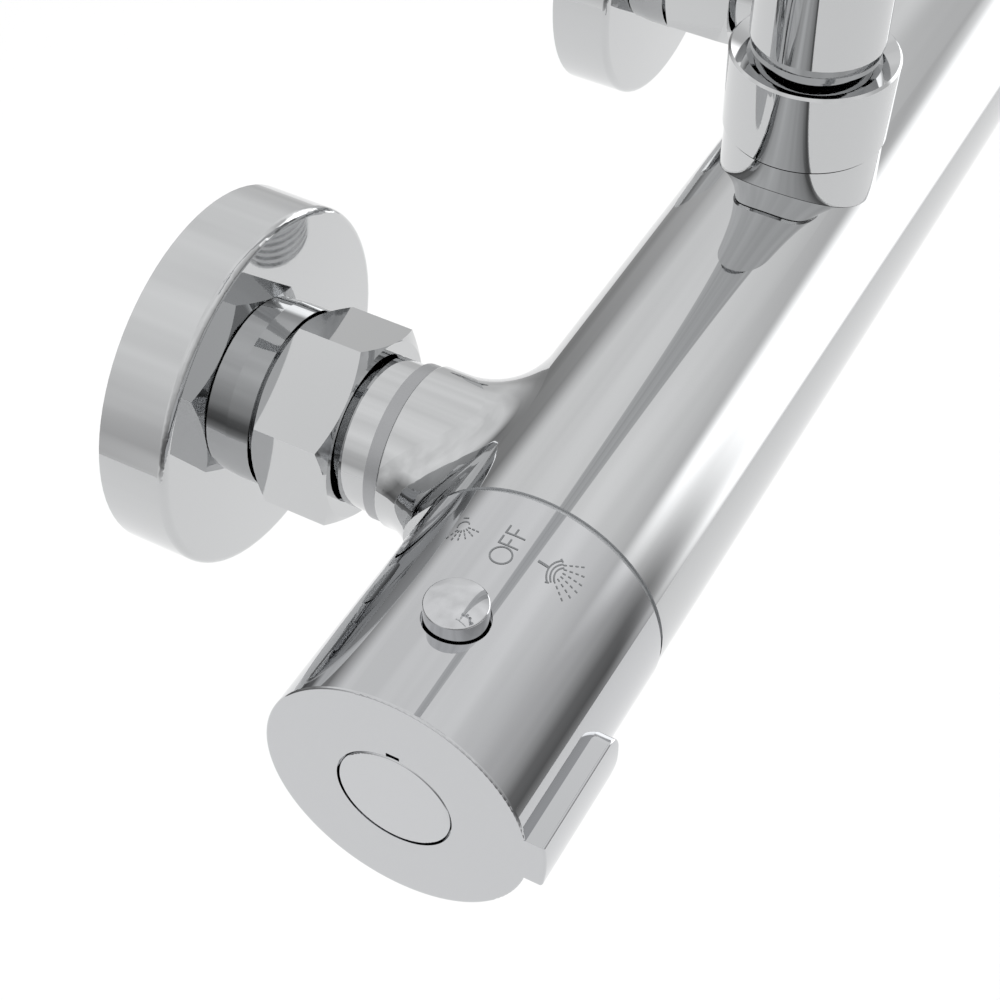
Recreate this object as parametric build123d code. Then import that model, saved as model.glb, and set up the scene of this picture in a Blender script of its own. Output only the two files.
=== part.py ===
from build123d import *
import os
from math import cos, pi, radians, sin, sqrt, tan

# A thermostatic shower column: a bar mixer on the wall, a riser with an arm, a hand shower on a
# slider and an overhead shower. Millimetres. X runs along the bar, +Y goes into the wall, Z is up.
# The origin is on the wall, midway between the two inlets, level with the axis of the bar.

# Clearances: turning and sliding fits, screwed fits, pieces that pass each other, faces, and how far
# a cut runs past the face that it opens
running_gap = 0.05
fixed_gap = 0.05
pass_gap = 0.3
seam = 0.2
cut_past = 1.0

# The bar
wall_to_bar = 68.8
inlet_spacing = 150.0
bar_radius = 20.0
bar_half_length = 92.6
pocket_radius = 14.5
pocket_depth = 8.6
mouth_radius = 16.0
mouth_depth = 3.6
chamber_radius = 17.0
thermostat_depth = 37.5
mixed_duct_radius = 4.2
port_radius = 2.8
port_height = 9.0
hot_duct_radius = 2.2
hot_duct_offset = 14.4
chamber_margin = 1.0

# Inlets, measured out from the axis of the bar towards the wall
stub_radius = 13.4
stub_length = 30.4
stub_fillet = 12.0
stub_edge = 0.35
inlet_collar_radius = 13.0
inlet_collar_length = 2.3
inlet_neck_radius = 12.4
inlet_neck_length = 4.7
inlet_bore_radius = 8.0
inlet_bore_floor = 6.2
tail_thread_radius = 9.95
tail_thread_length = 9.5
tail_shank_radius = 10.6
tail_shank_length = 3.9
tail_flange_radius = 12.0
tail_flange_length = 2.2
tail_bore_radius = 8.0
union_nut_across_flats = 29.4
union_nut_length = 13.5
union_nut_lip = 3.0
union_nut_gap = 0.7
union_nut_turn = 34.5
connector_thread_radius = 13.15
washer_thickness = 2.0
washer_inner_radius = 7.2
strainer_thickness = 0.6
strainer_hole_radius = 0.9
strainer_hole_step = 2.5
wall_thread_radius = 10.48
wall_thread_length = 11.0
wall_offset = 8.0
connector_bore_radius = 7.5
connector_mouth_radius = 8.5
connector_shoulder = 0.8
connector_middle_length = 5.5
connector_middle_gap = 2.8
flange_radius = 30.2
flange_depth = 11.8
flange_dome = 1.1
flange_wall = 1.6
flange_edge = 1.2
flange_neck_wall = 1.7
flange_neck_reach = 16.6

# Non-return valves
valve_wall = 1.3
valve_seat_radius = 5.0
valve_seat_length = 2.0
valve_length = 13.4
valve_spider = 1.6
valve_rib = 0.2
poppet_radius = 6.1
poppet_thickness = 1.9
stem_radius = 1.5
stem_reach = 1.4
valve_spring_radius = 3.6
valve_spring_wire = 0.6
valve_spring_turns = 5

# Cartridges, measured outwards from the end of the bar
seal_thickness = 1.0
disc_thickness = 2.6
disc_radius = 12.7
cartridge_end_wall = 2.6
neck_radius = 8.4
neck_end = 17.0
spindle_radius = 5.0
spindle_head = 2.3
spline_start = 17.5
spline_end = 30.0
spline_radius = 4.8
spline_depth = 0.5
spline_teeth = 16
screw_radius = 2.0
nut_cap = 3.0
nut_slots = 6
nut_slot_width = 4.0
nut_slot_depth = 1.6
stop_ring_start = 6.2
stop_ring_width = 4.0
stop_ring_radius = 11.0
stop_bump_radius = 14.4
stop_bump_half_angle = 58.0
flow_bump = 180.0
temperature_bump = 122.5
ring_section = 0.8
neck_ring_place = 12.0
housing_ring_places = (-27.0, -11.0)

# Thermostat
thermostat_bore_radius = 10.6
thermostat_floor = 2.0
nose_radius = 6.4
nose_length = 3.0
hot_window = 3.0
cold_window = 7.0
cold_window_start = 21.5
window_width = 7.0
shuttle_lap = 0.4
shuttle_wall = 1.5
web_thickness = 2.0
wax_radius = 5.0
wax_length = 14.0
wax_pin_radius = 1.5
wax_collar = 1.0
web_holes = 6
web_rib = 0.6
adjuster_radius = 8.0
adjuster_length = 6.9
adjuster_floor = 2.0
adjuster_top = 4.0
adjust_room = 0.7
adjust_stroke = 2.0
adjust_screw_radius = 4.5
key_width = 2.5
key_reach = 11.3
thermostat_spring_radius = 7.6
thermostat_spring_wire = 1.2
thermostat_spring_turns = 3

# Handles
handle_gap = 1.1
handle_length = 40.6
handle_radius = 20.25
handle_wall = 2.2
handle_end_wall = 3.2
handle_edge = 0.35
hub_radius = 9.8
hub_start = 18.0
insert_radius = 7.4
insert_length = 14.6
screw_head_radius = 4.2
screw_head_length = 3.6
screw_shank_length = 14.0
screw_tip_room = 1.0
screw_socket_across_flats = 3.0
screw_socket_depth = 2.0
cap_radius = 8.65
cap_thickness = 1.9
cap_seam = 0.25
pry_notch_width = 2.0
pry_notch_reach = 0.7
lug_width = 8.4
lug_length = 21.8
lug_proud = 2.65
lug_corner = 2.6
lug_edge = 0.35
button_distance = 24.7
button_radius = 4.5
button_gap = 0.3
button_proud = 2.65
button_dome = 0.9
button_flange = 0.9
button_flange_thickness = 1.5
button_pad_height = 10.0
button_spring_radius = 3.3
button_spring_wire = 0.7
button_spring_turns = 3
button_edge = 0.3
tongue_width = 4.0
tongue_reach = 17.2
tongue_drop = 2.0
tongue_nose = 1.5
glide_ring_radius = 19.5

# Outlets on the bar
outlet_spigot_radius = 9.45
outlet_spigot_length = 6.0
outlet_bore_radius = 6.5
outlet_floor = 7.0
hose_thread_radius = 10.48
hose_thread_length = 10.0
hose_collar_radius = 13.0
hose_collar_length = 6.0

# Foot of the riser
boss_radius = 13.1
boss_top = 24.6
boss_thread_radius = 11.9
boss_thread_top = 35.0
sleeve_radius = 13.9
sleeve_bottom_radius = 13.5
sleeve_top = 39.4
sleeve_dish = 1.2
sleeve_recess = 2.2
sleeve_shelf = 2.9
sleeve_edge = 0.4
sleeve_bevel = 0.3
sleeve_mouth_radius = 10.9
tail_spigot_radius = 9.4
tail_spigot_length = 11.4
tail_neck_radius = 9.6
tail_ring_radius = 10.6
tail_ring_bottom = 40.2
tail_ring_width = 0.9
riser_bottom = 42.6

# Riser and arm
riser_radius = 11.0
riser_wall = 1.2
riser_joint_height = 560.0
riser_joint_ring_radius = 12.3
riser_joint_ring = 6.0
riser_plug_reach = 28.0
riser_plug_bore = 7.5
arm_height = 1040.0
arm_reach = 350.0
arm_bend = 70.0
arm_end_bend = 34.0
arm_drop = 52.0

# Wall bracket
bracket_drop = 140.0
plate_radius = 20.0
plate_thickness = 5.0
plate_hole_spacing = 26.0
plate_hole_radius = 2.6
plate_boss_radius = 8.0
plate_boss_length = 14.0
bracket_arm_radius = 9.6
bracket_ring_radius = 15.5
bracket_ring_height = 24.0
cover_radius = 25.0
cover_depth = 11.0
cover_wall = 1.5
grub_radius = 2.0
grub_distance = 16.5
cover_dome = 1.0

# Slider and the holder for the hand shower
slider_height = 400.0
slider_radius = 17.0
slider_length = 40.0
slider_edge = 1.5
cup_edge = 1.0
pivot_distance = 31.0
ear_thickness = 4.0
ear_radius = 9.0
tongue_plate = 15.0
pivot_radius = 3.0
knob_radius = 11.0
knob_length = 15.0
knob_grips = 12
knob_grip_depth = 0.9
knob_face = 2.0
cup_distance = 33.0
cup_radius = 15.2
cup_length = 26.0
cup_slot = 15.5
handset_tilt = 15.0

# Hand shower, in its own frame with the handle along Z
cone_bottom_radius = 11.2
cone_top_radius = 12.3
cone_length = 26.0
handset_thread_radius = 10.48
handset_thread_length = 12.0
grip_radius = 13.0
grip_height = 45.0
throat_radius = 9.5
handset_bore_radius = 6.5
handset_length = 225.0
head_radius = 52.0
head_rim = 9.0
head_crown = 9.0
head_tilt = 18.0
head_setback = 1.0
head_wall = 2.0
plate_ledge = 2.0
throat_lap = 18.0
plate_inset = 0.6
spray_plate_thickness = 2.4
nozzle_radius = 1.3
nozzle_proud = 1.6
nozzle_mat = 1.2
handset_nozzle_rings = 4
handset_nozzle_step = 9.6

# Overhead shower
ball_radius = 10.5
ball_neck_radius = 6.8
ball_collar_length = 13.0
ball_bore_radius = 4.5
ball_plug_length = 16.0
ball_drop = 15.0
ball_nut_radius = 17.0
ball_nut_top = 5.5
ball_nut_bottom = 12.5
ball_seat_top = 2.0
rose_radius = 110.0
rose_rim = 9.0
rose_crown = 10.0
rose_wall = 2.0
rose_boss_radius = 14.0
rose_drop = 35.0
rose_nozzle_rings = 6
rose_nozzle_step = 16.0

# Places that follow from the sizes
bar_y = -wall_to_bar
inlet_x = inlet_spacing / 2
stub_end = bar_y + stub_length
collar_end = stub_end + inlet_collar_length
neck_face = collar_end + inlet_neck_length
tail_thread_start = neck_face - tail_thread_length
tail_flange_start = neck_face + tail_shank_length
tail_end = tail_flange_start + tail_flange_length
connector_start = tail_end + washer_thickness
nut_front = neck_face + union_nut_gap
fixed_disc_face = -pocket_depth + seal_thickness
moving_disc_face = fixed_disc_face + disc_thickness
handle_end = handle_gap + handle_length
cap_floor = handle_end - cap_thickness
screw_seat = cap_floor - screw_head_length - pass_gap
insert_end = hub_start + insert_length
shuttle_start = -thermostat_depth + thermostat_floor + hot_window - shuttle_lap
shuttle_end = -cold_window_start + shuttle_lap
web_start = (shuttle_start + shuttle_end) / 2 - web_thickness / 2
adjuster_end = -adjuster_top
adjuster_start = adjuster_end - adjuster_length
button_top = handle_radius + button_proud
tail_groove_height = boss_thread_top - tail_spigot_length / 2
flange_top = sqrt((handle_radius - handle_wall) ** 2 - (button_radius + button_flange) ** 2) - pass_gap
button_floor = flange_top - button_flange_thickness
button_x = bar_half_length + button_distance
arm_y = bar_y - arm_reach
arm_end = arm_height - arm_drop
bracket_height = arm_height - bracket_drop
ball_height = arm_end - ball_collar_length - ball_drop
pivot_y = bar_y - pivot_distance
cup_y = pivot_y - cup_distance
ear_start = tongue_plate / 2 + pass_gap
axis_turn = {"X": (0, 90, 0), "Y": (-90, 0, 0), "Z": (0, 0, 0)}


def rod(axis, radius, start, end, at=(0, 0)):
    """A cylinder along an axis between two coordinates; at holds the other two, in X, Y, Z order."""
    middle = (start + end) / 2
    places = {"X": (middle, *at), "Y": (at[0], middle, at[1]), "Z": (*at, middle)}
    return Pos(*places[axis]) * Rot(*axis_turn[axis]) * Cylinder(radius, abs(end - start))


def pipe(axis, outer, inner, start, end, at=(0, 0)):
    """A tube along an axis."""
    return rod(axis, outer, start, end, at) - rod(axis, inner, start, end, at)


def block(low, high):
    """A box between two corners."""
    size = [b - a for a, b in zip(low, high)]
    middle = [(a + b) / 2 for a, b in zip(low, high)]
    return Pos(*middle) * Box(*size)


def turned(profile):
    """A solid of revolution about Z from a closed list of (height, radius) points."""
    outline = Polyline(*[(radius, 0, height) for height, radius in profile], close=True)
    return revolve(make_face(outline), axis=Axis.Z)


def domed(radius, rim, crown):
    """A disc on the XY plane whose top rises from rim at its edge to rim + crown in the middle."""
    top = rim + crown
    ball = (radius ** 2 + crown ** 2) / (2 * crown)
    halfway = top - ball + sqrt(ball ** 2 - (radius / 2) ** 2)
    side = Polyline((0, 0, top), (0, 0, 0), (radius, 0, 0), (radius, 0, rim))
    dome = ThreePointArc((radius, 0, rim), (radius / 2, 0, halfway), (0, 0, top))
    return revolve(make_face(side.edges() + dome.edges()), axis=Axis.Z)


def last_rim(shape, axis):
    """The closed round edge furthest along an axis."""
    circles = shape.edges().filter_by(GeomType.CIRCLE)
    return circles.filter_by(lambda edge: edge.is_closed).sort_by(axis)[-1]


def end_rod(radius, start, end):
    """A cylinder on the axis of the bar, measured outwards from its right end."""
    return rod("X", radius, bar_half_length + start, bar_half_length + end, (bar_y, 0))


def end_pipe(outer, inner, start, end):
    """A tube on the axis of the bar, measured outwards from its right end."""
    return end_rod(outer, start, end) - end_rod(inner, start, end)


def mirrored(shape):
    """The same piece at the left end of the bar."""
    return mirror(shape, about=Plane.YZ)


def grouped(*shapes):
    """Separate solids that share one node."""
    return Compound(children=[solid for shape in shapes for solid in shape.solids()])


def coil(radius, wire, length, turns):
    """A spring of a given overall length, standing on the XY plane."""
    rise = length - wire
    path = Helix(pitch=rise / turns, height=rise, radius=radius)
    section = Plane(origin=path @ 0, z_dir=path % 0) * Circle(wire / 2)
    print("least gap between the curls of a spring, mm:", round(rise / turns - wire, 2))
    return Pos(0, 0, wire / 2) * sweep(section, path=path, is_frenet=True)


def seal_ring(radius, axis, place):
    """A rubber ring round an axis, where radius is the inside of its groove's opening."""
    return Pos(*place) * Rot(*axis_turn[axis]) * Torus(radius + ring_section, ring_section)


def toothed(tip, root, start, end):
    """A splined length on the axis of the bar, measured outwards from its right end."""
    points = []
    for step in range(4 * spline_teeth):
        radius = tip if step % 4 < 2 else root
        angle = 2 * pi * (step + 0.5) / (4 * spline_teeth)
        points.append((radius * cos(angle), radius * sin(angle)))
    outline = make_face(Polyline(*points, close=True))
    return Pos(bar_half_length + start, bar_y, 0) * Rot(0, 90, 0) * extrude(outline, end - start)


def cast_bar():
    """The outside of the bar with its two filleted inlet stubs."""
    overrun = bar_half_length + 2 * stub_fillet
    bar = rod("X", bar_radius, -overrun, overrun, (bar_y, 0))
    for side in (-1, 1):
        bar += rod("Y", stub_radius, bar_y, stub_end + stub_fillet, (side * inlet_x, 0))
    plain = (GeomType.LINE, GeomType.CIRCLE)
    bar = fillet(bar.edges().filter_by(lambda edge: edge.geom_type not in plain), stub_fillet)
    reach = 2 * bar_radius
    bar = bar & block((-bar_half_length, bar_y - reach, -reach), (bar_half_length, stub_end, reach))
    rims = bar.edges().filter_by_position(Axis.Y, stub_end - stub_edge / 2, stub_end + stub_edge / 2)
    return fillet(rims, stub_edge)


def valve_body():
    body = cast_bar()
    for side in (-1, 1):
        at = (side * inlet_x, 0)
        body += rod("Y", inlet_collar_radius, stub_end, collar_end, at)
        body += rod("Y", inlet_neck_radius, collar_end, neck_face, at)
        body -= rod("Y", tail_thread_radius + fixed_gap, tail_thread_start, neck_face, at)
        body -= rod("Y", inlet_bore_radius, bar_y + inlet_bore_floor, neck_face, at)
    body -= end_rod(mouth_radius, -mouth_depth, 0)
    body -= end_rod(pocket_radius, -thermostat_depth, 0)
    body -= end_rod(nose_radius + fixed_gap, -thermostat_depth - nose_length, 0)
    body -= end_rod(chamber_radius, -thermostat_depth, -thermostat_depth + 2 * hot_window)
    cold_end = -cold_window_start + cold_window
    body -= end_rod(chamber_radius, -cold_window_start - chamber_margin, cold_end + chamber_margin)
    body -= mirrored(end_rod(mouth_radius, -mouth_depth, 0))
    body -= mirrored(end_rod(pocket_radius, -pocket_depth, 0))
    left_seat = -bar_half_length + pocket_depth
    body -= rod("X", mixed_duct_radius, left_seat, bar_half_length - thermostat_depth, (bar_y, 0))
    hot_end = bar_half_length - thermostat_depth + hot_window
    body -= rod("X", hot_duct_radius, -inlet_x, hot_end, (bar_y + hot_duct_offset, 0))
    for way in (-1, 1):
        body -= rod("X", port_radius, left_seat, 0, (bar_y, way * port_height))
        body -= rod("Z", outlet_bore_radius, way * outlet_floor, way * bar_radius, (0, bar_y))
        socket_floor = way * (bar_radius - outlet_spigot_length)
        socket_mouth = way * (bar_radius + cut_past)
        body -= rod("Z", outlet_spigot_radius + fixed_gap, socket_floor, socket_mouth, (0, bar_y))
    return body


def inlet_tails():
    tail = rod("Y", tail_thread_radius, tail_thread_start, neck_face, (inlet_x, 0))
    tail += rod("Y", tail_shank_radius, neck_face, tail_flange_start, (inlet_x, 0))
    tail += rod("Y", tail_flange_radius, tail_flange_start, tail_end, (inlet_x, 0))
    tail -= rod("Y", tail_bore_radius, tail_thread_start, tail_end, (inlet_x, 0))
    return grouped(tail, mirrored(tail))


def union_nuts():
    flat = union_nut_across_flats / 2
    corner = flat / cos(radians(30))
    bevel = (corner - flat) * tan(radians(30))
    hexagon = extrude(Rot(0, 0, union_nut_turn) * RegularPolygon(corner, 6), union_nut_length)
    lathe = turned([(0, 0), (0, flat), (bevel, corner), (union_nut_length - bevel, corner),
                    (union_nut_length, flat), (union_nut_length, 0)])
    nut = Pos(inlet_x, nut_front, 0) * Rot(*axis_turn["Y"]) * (hexagon & lathe)
    back = nut_front + union_nut_length
    nut -= rod("Y", tail_shank_radius + pass_gap, nut_front, back, (inlet_x, 0))
    nut -= rod("Y", connector_thread_radius + fixed_gap, nut_front + union_nut_lip, back, (inlet_x, 0))
    return grouped(nut, mirrored(nut))


def filter_washers():
    washer = pipe("Y", tail_flange_radius, washer_inner_radius, tail_end, connector_start, (inlet_x, 0))
    middle = (tail_end + connector_start) / 2
    face = middle - strainer_thickness / 2
    back = middle + strainer_thickness / 2
    strainer = rod("Y", washer_inner_radius, face, back, (inlet_x, 0))
    for ring in (1, 2):
        for step in range(6 * ring):
            angle = 2 * pi * step / (6 * ring)
            reach = ring * strainer_hole_step
            place = (inlet_x + reach * cos(angle), reach * sin(angle))
            strainer -= rod("Y", strainer_hole_radius, face, back, place)
    both = washer + strainer
    return grouped(both, mirrored(both))


def s_connectors():
    start = -connector_middle_gap - connector_middle_length
    end = -connector_middle_gap
    upper = Circle(connector_thread_radius)
    lower = Pos(0, wall_offset) * Circle(wall_thread_radius + connector_shoulder)
    bridge = extrude(make_hull(upper.edges() + lower.edges()), connector_middle_length)
    connector = rod("Y", connector_thread_radius, connector_start, start, (inlet_x, 0))
    connector += Pos(inlet_x, start, 0) * Rot(*axis_turn["Y"]) * bridge
    connector += rod("Y", wall_thread_radius, end, wall_thread_length, (inlet_x, -wall_offset))
    middle = (start + end) / 2
    connector -= rod("Y", connector_mouth_radius, connector_start, middle + cut_past, (inlet_x, 0))
    connector -= rod("Y", connector_bore_radius, middle - cut_past, wall_thread_length, (inlet_x, -wall_offset))
    return grouped(connector, mirrored(connector))


def wall_flanges():
    cup = domed(flange_radius, flange_depth, flange_dome)
    cup = fillet(last_rim(cup, Axis.Z), flange_edge)
    cup -= domed(flange_radius - flange_wall, flange_depth - flange_wall, flange_dome)
    bore = connector_thread_radius + 2 * fixed_gap
    cup += rod("Z", bore + flange_neck_wall, flange_depth - flange_wall, flange_neck_reach)
    cup -= rod("Z", bore, 0, flange_neck_reach)
    flange = Pos(inlet_x, 0, 0) * Rot(90, 0, 0) * cup
    return grouped(flange, mirrored(flange))


def valve_places():
    """Where a non-return valve starts and ends inside a tail, along Y."""
    return tail_end - valve_length, tail_end


def check_valves():
    start, end = valve_places()
    outer = tail_bore_radius - fixed_gap
    seat = end - valve_seat_length
    valve = pipe("Y", outer, outer - valve_wall, start, end, (inlet_x, 0))
    valve += pipe("Y", outer, valve_seat_radius, seat, end, (inlet_x, 0))
    spider = rod("Y", outer, start, start + valve_spider, (inlet_x, 0))
    spider -= rod("Y", stem_radius + running_gap, start, start + valve_spider, (inlet_x, 0))
    port = valve_spring_radius + valve_spring_wire
    for step in range(3):
        angle = 2 * pi * step / 3
        middle = (port + outer) / 2
        place = (inlet_x + middle * cos(angle), middle * sin(angle))
        spider -= rod("Y", (outer - port) / 2 - valve_rib, start, start + valve_spider, place)
    both = valve + spider
    return grouped(both, mirrored(both))


def check_poppet():
    start, end = valve_places()
    face = end - valve_seat_length - seam
    poppet = rod("Y", poppet_radius, face - poppet_thickness, face, (inlet_x, 0))
    return poppet + rod("Y", stem_radius, start - stem_reach, face - poppet_thickness, (inlet_x, 0))


def check_spring():
    start, end = valve_places()
    foot = start + valve_spider + seam
    head = end - valve_seat_length - 2 * seam - poppet_thickness
    spring = coil(valve_spring_radius, valve_spring_wire, head - foot, valve_spring_turns)
    return Pos(inlet_x, foot, 0) * Rot(*axis_turn["Y"]) * spring


def diverter_seal():
    seal = mirrored(end_rod(disc_radius, -pocket_depth, fixed_disc_face))
    return seal - port_holes(-pocket_depth, fixed_disc_face)


def port_holes(start, end):
    """The three water ways at the seat of the diverter."""
    x_start = -bar_half_length - start
    x_end = -bar_half_length - end
    holes = rod("X", mixed_duct_radius, x_start, x_end, (bar_y, 0))
    for way in (-1, 1):
        holes += rod("X", port_radius, x_start, x_end, (bar_y, way * port_height))
    return holes


def diverter_fixed_disc():
    disc = mirrored(end_rod(disc_radius, fixed_disc_face, moving_disc_face))
    return disc - port_holes(fixed_disc_face, moving_disc_face)


def diverter_moving_disc():
    end = moving_disc_face + disc_thickness
    disc = mirrored(end_rod(disc_radius - running_gap, moving_disc_face + running_gap, end))
    x_face = -bar_half_length - moving_disc_face
    x_floor = x_face - disc_thickness / 2
    recess = rod("X", mixed_duct_radius, x_floor, x_face, (bar_y, 0))
    recess += rod("X", port_radius, x_floor, x_face, (bar_y + port_height, 0))
    recess += block((x_floor, bar_y, -port_radius), (x_face, bar_y + port_height, port_radius))
    return disc - recess


def cartridge_neck():
    """The end wall and neck that both cartridge housings share, without the cavity."""
    wall = pocket_radius - 2 * fixed_gap
    neck = end_rod(wall, -mouth_depth, cartridge_end_wall) + end_rod(neck_radius, 0, neck_end)
    neck -= end_rod(spindle_radius + running_gap, -mouth_depth, neck_end)
    groove = end_rod(spindle_radius + 2 * ring_section + 2 * fixed_gap, neck_ring_place - ring_section,
                     neck_ring_place + ring_section)
    return neck - groove


def diverter_housing():
    wall = pocket_radius - 2 * fixed_gap
    housing = cartridge_neck() + end_pipe(wall, disc_radius + running_gap, fixed_disc_face, 0)
    return mirrored(housing - end_rod(disc_radius + running_gap, fixed_disc_face, 0))


def spindle(head_radius):
    """The turning stem of a cartridge, with its splines and the hole for the handle's screw."""
    stem = end_rod(head_radius, -running_gap - spindle_head, -running_gap)
    stem += end_rod(spindle_radius, -running_gap, spline_start)
    stem += toothed(spline_radius, spline_radius - spline_depth, spline_start, spline_end)
    hole_floor = screw_seat - screw_shank_length - screw_tip_room
    return stem - end_rod(screw_radius + fixed_gap, hole_floor, spline_end)


def diverter_spindle():
    return mirrored(spindle(disc_radius - running_gap))


def retaining_nuts():
    outer = mouth_radius - fixed_gap
    cap_start = cartridge_end_wall + fixed_gap
    nut = end_pipe(outer, pocket_radius, -mouth_depth + fixed_gap, cap_start)
    nut += end_pipe(outer, neck_radius + fixed_gap, cap_start, cap_start + nut_cap)
    for step in range(nut_slots):
        low = (0, outer - nut_slot_depth, -nut_slot_width / 2)
        slot = block(low, (nut_cap, outer + cut_past, nut_slot_width / 2))
        turn = Rot(360 * step / nut_slots, 0, 0)
        nut -= Pos(bar_half_length + cap_start, bar_y, 0) * turn * slot
    return grouped(nut, mirrored(nut))


def stop_ring(bump_middle):
    """A turn stop; the middle of its bump is an angle from the top, towards the room."""
    end = stop_ring_start + stop_ring_width
    ring = end_pipe(stop_ring_radius, neck_radius + fixed_gap, stop_ring_start, end)
    bump = end_pipe(stop_bump_radius, neck_radius + fixed_gap, stop_ring_start, end)
    corners = [(0, 0)]
    for share in (-1, -0.5, 0, 0.5, 1):
        angle = radians(90 + bump_middle + share * stop_bump_half_angle)
        corners.append((2 * stop_bump_radius * cos(angle), 2 * stop_bump_radius * sin(angle)))
    wedge = extrude(make_face(Polyline(*corners, close=True)), handle_length)
    upright = Rot(90, 0, 0) * Rot(0, 90, 0) * wedge
    return ring + (bump & (Pos(bar_half_length, bar_y, 0) * upright))


def stop_rings():
    return grouped(stop_ring(temperature_bump), mirrored(stop_ring(flow_bump)))


def o_rings():
    rings = []
    for side in (-1, 1):
        place = (side * (bar_half_length + neck_ring_place), bar_y, 0)
        rings.append(seal_ring(spindle_radius + 2 * fixed_gap, "X", place))
    for ring_place in housing_ring_places:
        place = (bar_half_length + ring_place, bar_y, 0)
        rings.append(seal_ring(pocket_radius - 2 * ring_section - fixed_gap, "X", place))
    rings.append(seal_ring(tail_spigot_radius - 2 * ring_section, "Z", (0, bar_y, tail_groove_height)))
    return grouped(*rings)


def thermostat_housing():
    wall = pocket_radius - 2 * fixed_gap
    housing = cartridge_neck() + end_rod(wall, -thermostat_depth, 0)
    housing += end_rod(nose_radius, -thermostat_depth - nose_length + seam, -thermostat_depth)
    housing -= end_rod(mixed_duct_radius, -thermostat_depth - nose_length, 0)
    floor = -thermostat_depth + thermostat_floor
    housing -= end_rod(thermostat_bore_radius, floor, 0)
    x_end = bar_half_length
    for start, width in ((floor, hot_window), (-cold_window_start, cold_window)):
        low = (x_end + start, bar_y - window_width / 2, -2 * pocket_radius)
        high = (x_end + start + width, bar_y + window_width / 2, 2 * pocket_radius)
        for turn in (0, 90):
            housing -= Pos(0, bar_y, 0) * Rot(turn, 0, 0) * Pos(0, -bar_y, 0) * block(low, high)
    key_room = key_reach + pass_gap
    half = key_width / 2 + pass_gap
    low = (x_end + adjuster_start - adjust_stroke, bar_y - key_room, -half)
    housing -= block(low, (x_end, bar_y + key_room, half))
    for place in housing_ring_places:
        groove = (pocket_radius - 2 * ring_section - fixed_gap, place - ring_section, place + ring_section)
        housing -= end_pipe(pocket_radius, *groove)
    return housing


def thermostat_shuttle():
    outer = thermostat_bore_radius - running_gap
    shuttle = end_pipe(outer, outer - shuttle_wall, shuttle_start, shuttle_end)
    web = end_pipe(outer, wax_radius + fixed_gap, web_start, web_start + web_thickness)
    middle = (wax_radius + outer - shuttle_wall) / 2
    hole = (outer - shuttle_wall - wax_radius) / 2 - web_rib
    x_web = bar_half_length + web_start
    for step in range(web_holes):
        angle = 2 * pi * step / web_holes
        place = (bar_y + middle * cos(angle), middle * sin(angle))
        web -= rod("X", hole, x_web, x_web + web_thickness, place)
    return shuttle + web


def wax_element():
    middle = web_start + web_thickness
    body_end = middle + wax_length / 2
    element = end_rod(wax_radius, middle - wax_length / 2, body_end)
    element += end_rod(wax_radius + wax_collar, middle, middle + shuttle_wall)
    return element + end_rod(wax_pin_radius, body_end, adjuster_start)


def thermostat_spring():
    floor = -thermostat_depth + thermostat_floor + seam
    length = web_start - seam - floor
    spring = coil(thermostat_spring_radius, thermostat_spring_wire, length, thermostat_spring_turns)
    return Pos(bar_half_length + floor, bar_y, 0) * Rot(*axis_turn["X"]) * spring


def thermostat_adjuster():
    adjuster = end_rod(adjuster_radius, adjuster_start, adjuster_end)
    x_start = bar_half_length + adjuster_start
    x_end = bar_half_length + adjuster_end
    adjuster += block((x_start, bar_y - key_reach, -key_width / 2), (x_end, bar_y + key_reach, key_width / 2))
    bore = adjust_screw_radius + running_gap
    return adjuster - end_rod(bore, adjuster_start + adjuster_floor, adjuster_end)


def temperature_spindle():
    screw_end = adjuster_start + adjuster_floor + adjust_room
    stem = spindle(thermostat_bore_radius - running_gap)
    return stem + end_rod(adjust_screw_radius, screw_end, -running_gap - spindle_head)


def glide_rings():
    ring = end_pipe(glide_ring_radius, mouth_radius + pass_gap, 0, handle_gap - seam)
    return grouped(ring, mirrored(ring))


def handle():
    """A handle at the right end of the bar: shell, hub, lug, and its holes for cap, screw and button."""
    inner = handle_radius - handle_wall
    shell = end_rod(handle_radius, handle_gap, handle_end)
    shell = fillet(last_rim(shell, Axis.X), handle_edge)
    x_end = bar_half_length + handle_end
    lug_reach = handle_radius + lug_proud
    lug_low = (x_end - lug_length, bar_y - 2 * lug_reach, -lug_width / 2)
    lug = block(lug_low, (x_end, bar_y - inner - cut_past, lug_width / 2))
    corners = lug.edges().filter_by(Axis.Y).sort_by(Axis.X)[:2]
    lug = fillet(corners, lug_corner) & end_rod(lug_reach, 0, handle_end)
    lug = fillet(lug.faces().sort_by(Axis.Y)[0].edges(), lug_edge)
    shell += lug
    shell -= end_rod(inner, handle_gap, handle_end - handle_end_wall)
    shell += end_rod(hub_radius, hub_start, handle_end - handle_end_wall)
    pad = button_spring_radius + button_spring_wire + seam
    x_button = bar_half_length + button_distance
    shell += block((x_button - pad, bar_y - pad, 0), (x_button + pad, bar_y + pad, button_pad_height))
    shell -= end_rod(insert_radius + fixed_gap, hub_start, insert_end)
    shell -= end_rod(screw_radius + pass_gap, insert_end, handle_end)
    shell -= end_rod(screw_head_radius + pass_gap, screw_seat, handle_end)
    shell -= end_rod(cap_radius + cap_seam, cap_floor, handle_end)
    notch_top = cap_radius + cap_seam + pry_notch_reach
    notch_low = (bar_half_length + cap_floor, bar_y - pry_notch_width / 2, cap_radius - cut_past)
    shell -= block(notch_low, (x_end, bar_y + pry_notch_width / 2, notch_top))
    hole_bottom = hub_radius + cut_past
    return shell - rod("Z", button_radius + button_gap, hole_bottom, 2 * handle_radius, (x_button, bar_y))


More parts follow.
